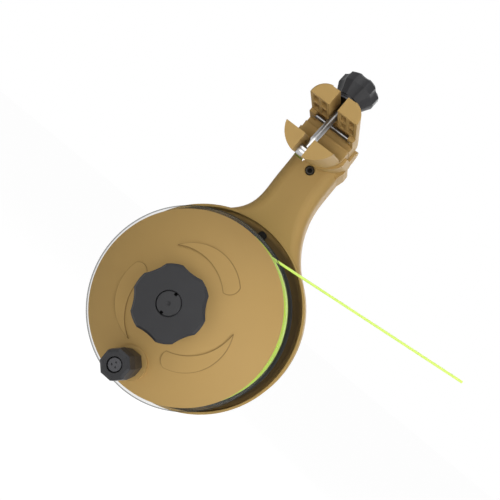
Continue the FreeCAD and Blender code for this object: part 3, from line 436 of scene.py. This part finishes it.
def metal(name, colour, roughness, metallic=1.0):
    """Metal with fine, even tool marks."""
    wear = 0.08
    paint = Finish(name, Metallic=metallic)
    marks = paint.noise(1.2 * MM, 3.0, 0.6)
    paint.feed("Base Color", paint.blend(marks, shade(colour, 1 - wear), shade(colour, 1.0)))
    paint.feed("Roughness", roughness + marks * wear)
    paint.bump(marks, 0.01 * MM, 0.3)
    return paint.material


def black_screws(name, colour):
    """Blackened screws, painted nearly black as shade; on the head below the jaw, a ring between
    its socket and its rim is painted lighter as a painted highlight.
    """
    paint = Finish(name, Metallic=1.0)
    marks = paint.noise(1.2 * MM, 3.0)
    reach = paint.front_view(HEAD_SCREW).reach
    painted_lit_ring = (ramp(reach, HEAD_SCREW_SOCKET, HEAD_SCREW_SOCKET + HEAD_SCREW_BLUR)
            * ramp(reach, HEAD_SCREW_RIM, HEAD_SCREW_RIM - HEAD_SCREW_BLUR))
    tone = paint.blend(marks, shade(colour, 0.8), shade(colour, 1.1))
    # Painted light and shade: the ring keeps the screws' lit colour, and all else is painted nearly
    # black.
    paint.feed("Base Color", paint.blend(painted_lit_ring, shade(colour, 0.15), tone))
    paint.feed("Roughness", 0.42 - painted_lit_ring * 0.10 + marks * 0.05)
    paint.bump(marks, 0.01 * MM, 0.3)
    return paint.material


def threaded_bolt(name, colour):
    """Plated steel: an eye painted brighter than the greyer shank as a painted highlight, and a
    rolled thread toward its knob with painted shade in its grooves.
    """
    paint = Finish(name, Metallic=1.0)
    axis = (0, math.sin(BOLT_LEAN), math.cos(BOLT_LEAN))
    along = paint.node("ShaderNodeVectorMath", {"operation": "DOT_PRODUCT"},
                       {0: paint.apart_from(BOLT_EYE), 1: axis}, output="Value")
    thread = ramp(along, THREAD_START, THREAD_START + THREAD_BLUR)
    ridge = paint.maths("PINGPONG", along, THREAD_FLANK) / THREAD_FLANK
    marks = paint.noise(1.5 * MM, 3.0)
    shank = ramp(along, SHANK_START, SHANK_START + SHANK_BLUR)
    # Painted highlight: the eye is painted brighter than the shank.
    tone = paint.blend(shank, shade(colour, 1.0), shade(colour, 0.55))
    # Painted shade: the thread's grooves are painted darker between its ridges.
    paint.feed("Base Color", paint.blend(thread * (1 - ridge) * 0.5, tone, shade(colour, 0.2)))
    paint.feed("Roughness", 0.18 + shank * 0.12 + marks * 0.10)
    paint.bump(thread * ridge, 0.2 * MM, 0.7)
    return paint.material


def clear_plastic(rim):
    """Clear sheet with a smoky tint; its cut rim, beyond a given radius, looks denser."""
    paint = Finish("clear_plastic", Specular_IOR_Level=0.2)
    haze = paint.noise(6 * MM, 2.0)
    edge = ramp(paint.front_view(spool_centre).reach, rim, rim + CLEAR_RIM_BLUR)
    tint = paint.blend(haze, (0.22, 0.23, 0.20, 1), (0.28, 0.29, 0.26, 1))
    paint.feed("Base Color", paint.blend(edge, tint, (0.03, 0.03, 0.028, 1)))
    paint.feed("Roughness", 0.10 + haze * 0.08)
    paint.feed("Alpha", 0.10 + haze * 0.05 + edge * 0.50)
    return paint.material


def line_plastic(name, pale, glow):
    """Bright monofilament made paler by a share of white, with a painted glow of its own colour,
    though it is no lamp.
    """
    base = bpy.context.scene.winder_colours.line
    lifted = [part + (1 - part) * pale for part in base]
    paint = Finish(name, Specular_IOR_Level=0.5, Emission_Strength=glow)
    streak = paint.noise(3 * MM, 2.0)
    colour = paint.blend(streak, shade(lifted, 0.88), shade(lifted, 1.08))
    paint.feed("Base Color", colour)
    # Painted light: the line glows in its own colour, though it is no lamp.
    paint.feed("Emission Color", colour)
    paint.feed("Roughness", 0.28 + streak * 0.10)
    return paint.material


def wear_finish(material, *names):
    """Put a finish on carried-over nodes."""
    for name in names:
        mesh = nodes[name].data
        mesh.materials.clear()
        mesh.materials.append(material)


# ---- Operators ----

class WINDER_OT_mouldings(bpy.types.Operator):
    """Finish the tan disc, arm, cover and jaws"""
    bl_idname = "winder.mouldings"
    bl_label = "Tan mouldings"

    def execute(self, context):
        wear_finish(moulded_tan(), "arm_rear_cover", "upper_jaw")
        # The disc gets painted shade in the steps round its crescents.
        wear_finish(moulded_tan("moulded_disc", crescent_painted_shade), "front_disc")
        # The arm gets painted shade on the floor of its dish.
        wear_finish(moulded_tan("moulded_arm", dish_painted_shade), "arm_front_shell")
        return {"FINISHED"}


class WINDER_OT_black_parts(bpy.types.Operator):
    """Finish the knobs, the handle, the hub and the rear flange"""
    bl_idname = "winder.black_parts"
    bl_label = "Black plastic parts"

    def execute(self, context):
        wear_finish(moulded_black(), "star_knob", "crank_handle", "clamp_knob", "spool_hub")
        wear_finish(moulded_black("flange_black", 0.4, 0.5), "rear_flange")
        # The cap's notches are painted dark as shade.
        wear_finish(moulded_black("cap_black", 0.8, 0.30, cap_notches), "star_knob_cap")
        return {"FINISHED"}


class WINDER_OT_metals(bpy.types.Operator):
    """Finish pins, screws, bearings, inserts and the swing bolt"""
    bl_idname = "winder.metals"
    bl_label = "Metal parts"

    def execute(self, context):
        # The bolt's eye gets a painted highlight and its thread painted shade.
        wear_finish(threaded_bolt("plated_bolt", (0.50, 0.50, 0.50)), "swing_bolt")
        wear_finish(metal("plated_pin", (0.30, 0.30, 0.31), 0.30), "grip_pin")
        wear_finish(metal("turned_steel", (0.55, 0.55, 0.56), 0.28), "axle", "axle_nut",
                    "bearing_spacer", "inner_sleeve", "jaw_hinge_pin", "swing_bolt_pin",
                    "disc_screws", "flange_screws", "front_bearing", "rear_bearing", "crank_nut",
                    "drag_washer")
        wear_finish(metal("black_steel", (0.05, 0.05, 0.055), 0.35, metallic=0.6),
                    "cover_screws", "crank_screw")
        # The screws get painted shade and, on the head below the jaw, a painted highlight.
        wear_finish(black_screws("screw_black", (0.10, 0.095, 0.085)), "arm_screws")
        wear_finish(metal("black_washer", (0.06, 0.06, 0.065), 0.35), "clamp_washer")
        wear_finish(metal("brass", (0.72, 0.52, 0.22), 0.30), "star_knob_insert",
                    "clamp_knob_insert")
        return {"FINISHED"}


class WINDER_OT_clear_flange(bpy.types.Operator):
    """Finish the clear flange behind the disc"""
    bl_idname = "winder.clear_flange"
    bl_label = "Clear flange"

    def execute(self, context):
        low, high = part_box("clear_flange")
        radius = (high[0] - low[0]) / 2
        wear_finish(clear_plastic(radius - CLEAR_RIM_WIDTH), "clear_flange")
        return {"FINISHED"}


class WINDER_OT_line(bpy.types.Operator):
    """Wind the line on the drum and lay the loose line"""
    bl_idname = "winder.line"
    bl_label = "Line"

    def execute(self, context):
        diameter = context.scene.winder_sizes.line_diameter
        # Both lines get a painted glow.
        add_winding(diameter, line_plastic("wound_line", 0.0, 0.2))
        add_loose_line(diameter, line_plastic("taut_line", 0.10, 0.4))
        return {"FINISHED"}


def winding_reach(depth):
    """Outer radius of the winding at a depth along Y: shallow in front, full behind."""
    share = min(max((depth - SHOULDER_START) / (SHOULDER_END - SHOULDER_START), 0.0), 1.0)
    return FRONT_REACH + (REAR_REACH - FRONT_REACH) * share * share * (3 - 2 * share)


def add_winding(diameter, finish):
    """Closed lower layers, and the top layer as one coil of touching turns over them."""
    low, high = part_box("line_winding")
    front, back = low[1], high[1]
    middle = Vector((0, 0, spool_centre.z))
    around = 72
    form = bmesh.new()

    # The lower layers: a profile from the drum's face out to the middle of the top turns.
    steps = 12
    rows = [front + (back - front) * step / steps for step in range(steps + 1)]
    outer = [(y, winding_reach(y) - diameter * 0.55) for y in rows]
    profile = [(front, DRUM_RADIUS)] + outer + [(back, DRUM_RADIUS)]
    points = [form.verts.new((0, y, middle.z + reach)) for y, reach in profile]
    edges = [form.edges.new(pair) for pair in zip(points, points[1:] + points[:1])]
    bmesh.ops.spin(form, geom=points + edges, cent=middle, axis=(0, 1, 0), angle=math.tau,
                   steps=around, use_merge=True)

    # The coil: one ring of the line's section, spun turn by turn from the front of the drum to
    # its back, and then moved out from one even reach to the winding's own.
    section_reach = 50 * MM
    margin = diameter * 0.6
    turns = int((back - front - 2 * margin) / diameter)
    below = set(form.verts)
    ring = bmesh.ops.create_circle(form, segments=8, radius=diameter / 2, cap_ends=True)["verts"]
    bmesh.ops.rotate(form, cent=(0, 0, 0), matrix=Matrix.Rotation(math.pi / 2, 3, "Y"), verts=ring)
    bmesh.ops.translate(form, vec=(0, front + margin, middle.z + section_reach), verts=ring)
    cap = ring[0].link_faces[0]
    swept = bmesh.ops.spin(form, geom=list(ring) + list(cap.edges), cent=middle, axis=(0, 1, 0),
                           dvec=(0, diameter / around, 0), angle=math.tau * turns,
                           steps=around * turns)
    last_ring = [part for part in swept["geom_last"] if isinstance(part, bmesh.types.BMEdge)]
    bmesh.ops.contextual_create(form, geom=last_ring)
    for vert in set(form.verts) - below:
        out = Vector((vert.co.x, 0, vert.co.z - middle.z))
        shift = winding_reach(vert.co.y) - diameter / 2 - section_reach
        vert.co += out.normalized() * shift
    bmesh.ops.recalc_face_normals(form, faces=form.faces)
    piece = as_piece("line_winding_turns", form, finish)
    for face in piece.data.polygons:
        face.use_smooth = True
    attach(piece, "spool")
    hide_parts("line_winding")


def as_piece(name, form, finish):
    """An object at the origin made from a bmesh, with its finish."""
    mesh = bpy.data.meshes.new(name)
    form.to_mesh(mesh)
    form.free()
    mesh.materials.append(finish)
    piece = bpy.data.objects.new(name, mesh)
    bpy.context.scene.collection.objects.link(piece)
    return piece


def add_loose_line(diameter, finish):
    """The taut stretch from the top of the winding to its bare end, as one open spline."""
    climb = math.radians(5.8)
    length = 146 * MM
    lean = climb + math.pi / 2
    start = Vector((LINE_REACH * math.cos(lean), LINE_DEPTH,
                    spool_centre.z + LINE_REACH * math.sin(lean)))
    along = Vector((math.cos(climb), 0, math.sin(climb)))
    curve = bpy.data.curves.new("loose_line", "CURVE")
    curve.dimensions = "3D"
    curve.bevel_depth = diameter / 2
    curve.bevel_resolution = 4
    curve.use_fill_caps = True
    spline = curve.splines.new("NURBS")
    shares = (0, 0.3, 0.7, 1)
    spline.points.add(len(shares) - 1)
    for point, share in zip(spline.points, shares):
        point.co = (*(start + along * length * share), 1)
    spline.order_u = 3
    spline.use_endpoint_u = True
    piece = bpy.data.objects.new("loose_line", curve)
    bpy.context.scene.collection.objects.link(piece)
    curve.materials.append(finish)
    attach(piece, "arm")
    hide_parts("free_line")


class WINDER_OT_stage(bpy.types.Operator):
    """Set up the floor, the lamps and the camera"""
    bl_idname = "winder.stage"
    bl_label = "Studio"

    def execute(self, context):
        sizes = context.scene.winder_sizes
        low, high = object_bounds()
        add_floor(low[2] - sizes.floor_drop)
        set_world()
        for name, turn, rise, distance, width, share in LAMPS:
            add_lamp(name, turn, rise, distance, width, sizes.lamp_power * share)
        add_camera()
        context.scene.view_settings.view_transform = "Standard"
        return {"FINISHED"}


def add_floor(height):
    """Large pale floor that keeps a faint shadow."""
    mesh = bpy.data.meshes.new("floor")
    form = bmesh.new()
    bmesh.ops.create_grid(form, x_segments=1, y_segments=1, size=FLOOR_HALF_WIDTH)
    bmesh.ops.translate(form, vec=(0, 0, height), verts=form.verts)
    form.to_mesh(mesh)
    form.free()
    floor = bpy.data.objects.new("floor", mesh)
    bpy.context.scene.collection.objects.link(floor)
    paint = Finish("pale_floor", Base_Color=(0.85, 0.85, 0.85, 1), Roughness=0.9,
                   Specular_IOR_Level=0.1)
    glow = paint.node("ShaderNodeEmission", inputs={
        "Color": (1, 1, 1, 1), "Strength": FLOOR_GLOW})
    mixed = paint.node("ShaderNodeMixShader", inputs={
        0: paint.background_rays() * FLOOR_GLOW_SHARE,
        1: Wire(paint.tree, paint.shader.outputs[0]), 2: glow})
    paint.tree.links.new(mixed.socket, paint.output.inputs["Surface"])
    mesh.materials.append(paint.material)
    floor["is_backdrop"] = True


def set_world():
    """Plain pale surroundings: white where they are seen, softer where they only light."""
    world = bpy.data.worlds.new("studio")
    world.use_nodes = True
    bpy.context.scene.world = world
    sky = Bench(world.node_tree)
    background = sky.tree.nodes["Background"]
    background.inputs["Color"].default_value = (1, 1, 1, 1)
    strength = WORLD_LIGHT + sky.background_rays() * (1 - WORLD_LIGHT)
    Wire.plug(sky.tree, strength, background.inputs["Strength"])


def add_lamp(name, turn, rise, distance, width, power):
    """Square soft lamp that faces the object, turned right of straight in front and raised."""
    lamp = bpy.data.lights.new(name, "AREA")
    lamp.size = width
    lamp.energy = power
    holder = bpy.data.objects.new(name, lamp)
    turn = math.radians(turn)
    level = math.cos(math.radians(rise))
    outward = Vector((math.sin(turn) * level, -math.cos(turn) * level,
                      math.sin(math.radians(rise))))
    holder.location = LAMP_AIM + outward * distance
    holder.rotation_euler = (-outward).to_track_quat("-Z", "Y").to_euler()
    bpy.context.scene.collection.objects.link(holder)


def add_camera():
    """Camera in front and a little to the right, nearly along the spool's axis, rolled over."""
    camera = bpy.data.cameras.new("camera")
    camera.lens = CAMERA_LENS
    camera.sensor_width = CAMERA_SENSOR
    holder = bpy.data.objects.new("camera", camera)
    turn = CAMERA_FORWARD.to_track_quat("-Z", "Y").to_matrix().to_4x4()
    roll = Matrix.Rotation(CAMERA_ROLL, 4, "Z")
    holder.matrix_world = Matrix.Translation(CAMERA_PLACE) @ turn @ roll
    bpy.context.scene.collection.objects.link(holder)
    bpy.context.scene.camera = holder


class WINDER_PT_panel(bpy.types.Panel):
    """Sizes, colours and the steps that dress the winder"""
    bl_label = "Line Winder"
    bl_idname = "WINDER_PT_panel"
    bl_space_type = "VIEW_3D"
    bl_region_type = "UI"
    bl_category = "Line Winder"

    def draw(self, context):
        layout = self.layout
        for group in (context.scene.winder_sizes, context.scene.winder_colours):
            for name in group.__annotations__:
                layout.prop(group, name)
        for step in STEPS:
            layout.operator(step.bl_idname)


STEPS = (
    WINDER_OT_mouldings,
    WINDER_OT_black_parts,
    WINDER_OT_metals,
    WINDER_OT_clear_flange,
    WINDER_OT_line,
    WINDER_OT_stage,
)
CLASSES = (WinderSizes, WinderColours) + STEPS + (WINDER_PT_panel,)


def register():
    for item in CLASSES:
        bpy.utils.register_class(item)
    bpy.types.Scene.winder_sizes = PointerProperty(type=WinderSizes)
    bpy.types.Scene.winder_colours = PointerProperty(type=WinderColours)


def unregister():
    del bpy.types.Scene.winder_colours
    del bpy.types.Scene.winder_sizes
    for item in reversed(CLASSES):
        bpy.utils.unregister_class(item)


def main():
    register()
    for step in STEPS:
        group, name = step.bl_idname.split(".")
        getattr(getattr(bpy.ops, group), name)()


if __name__ == "__main__":
    main()
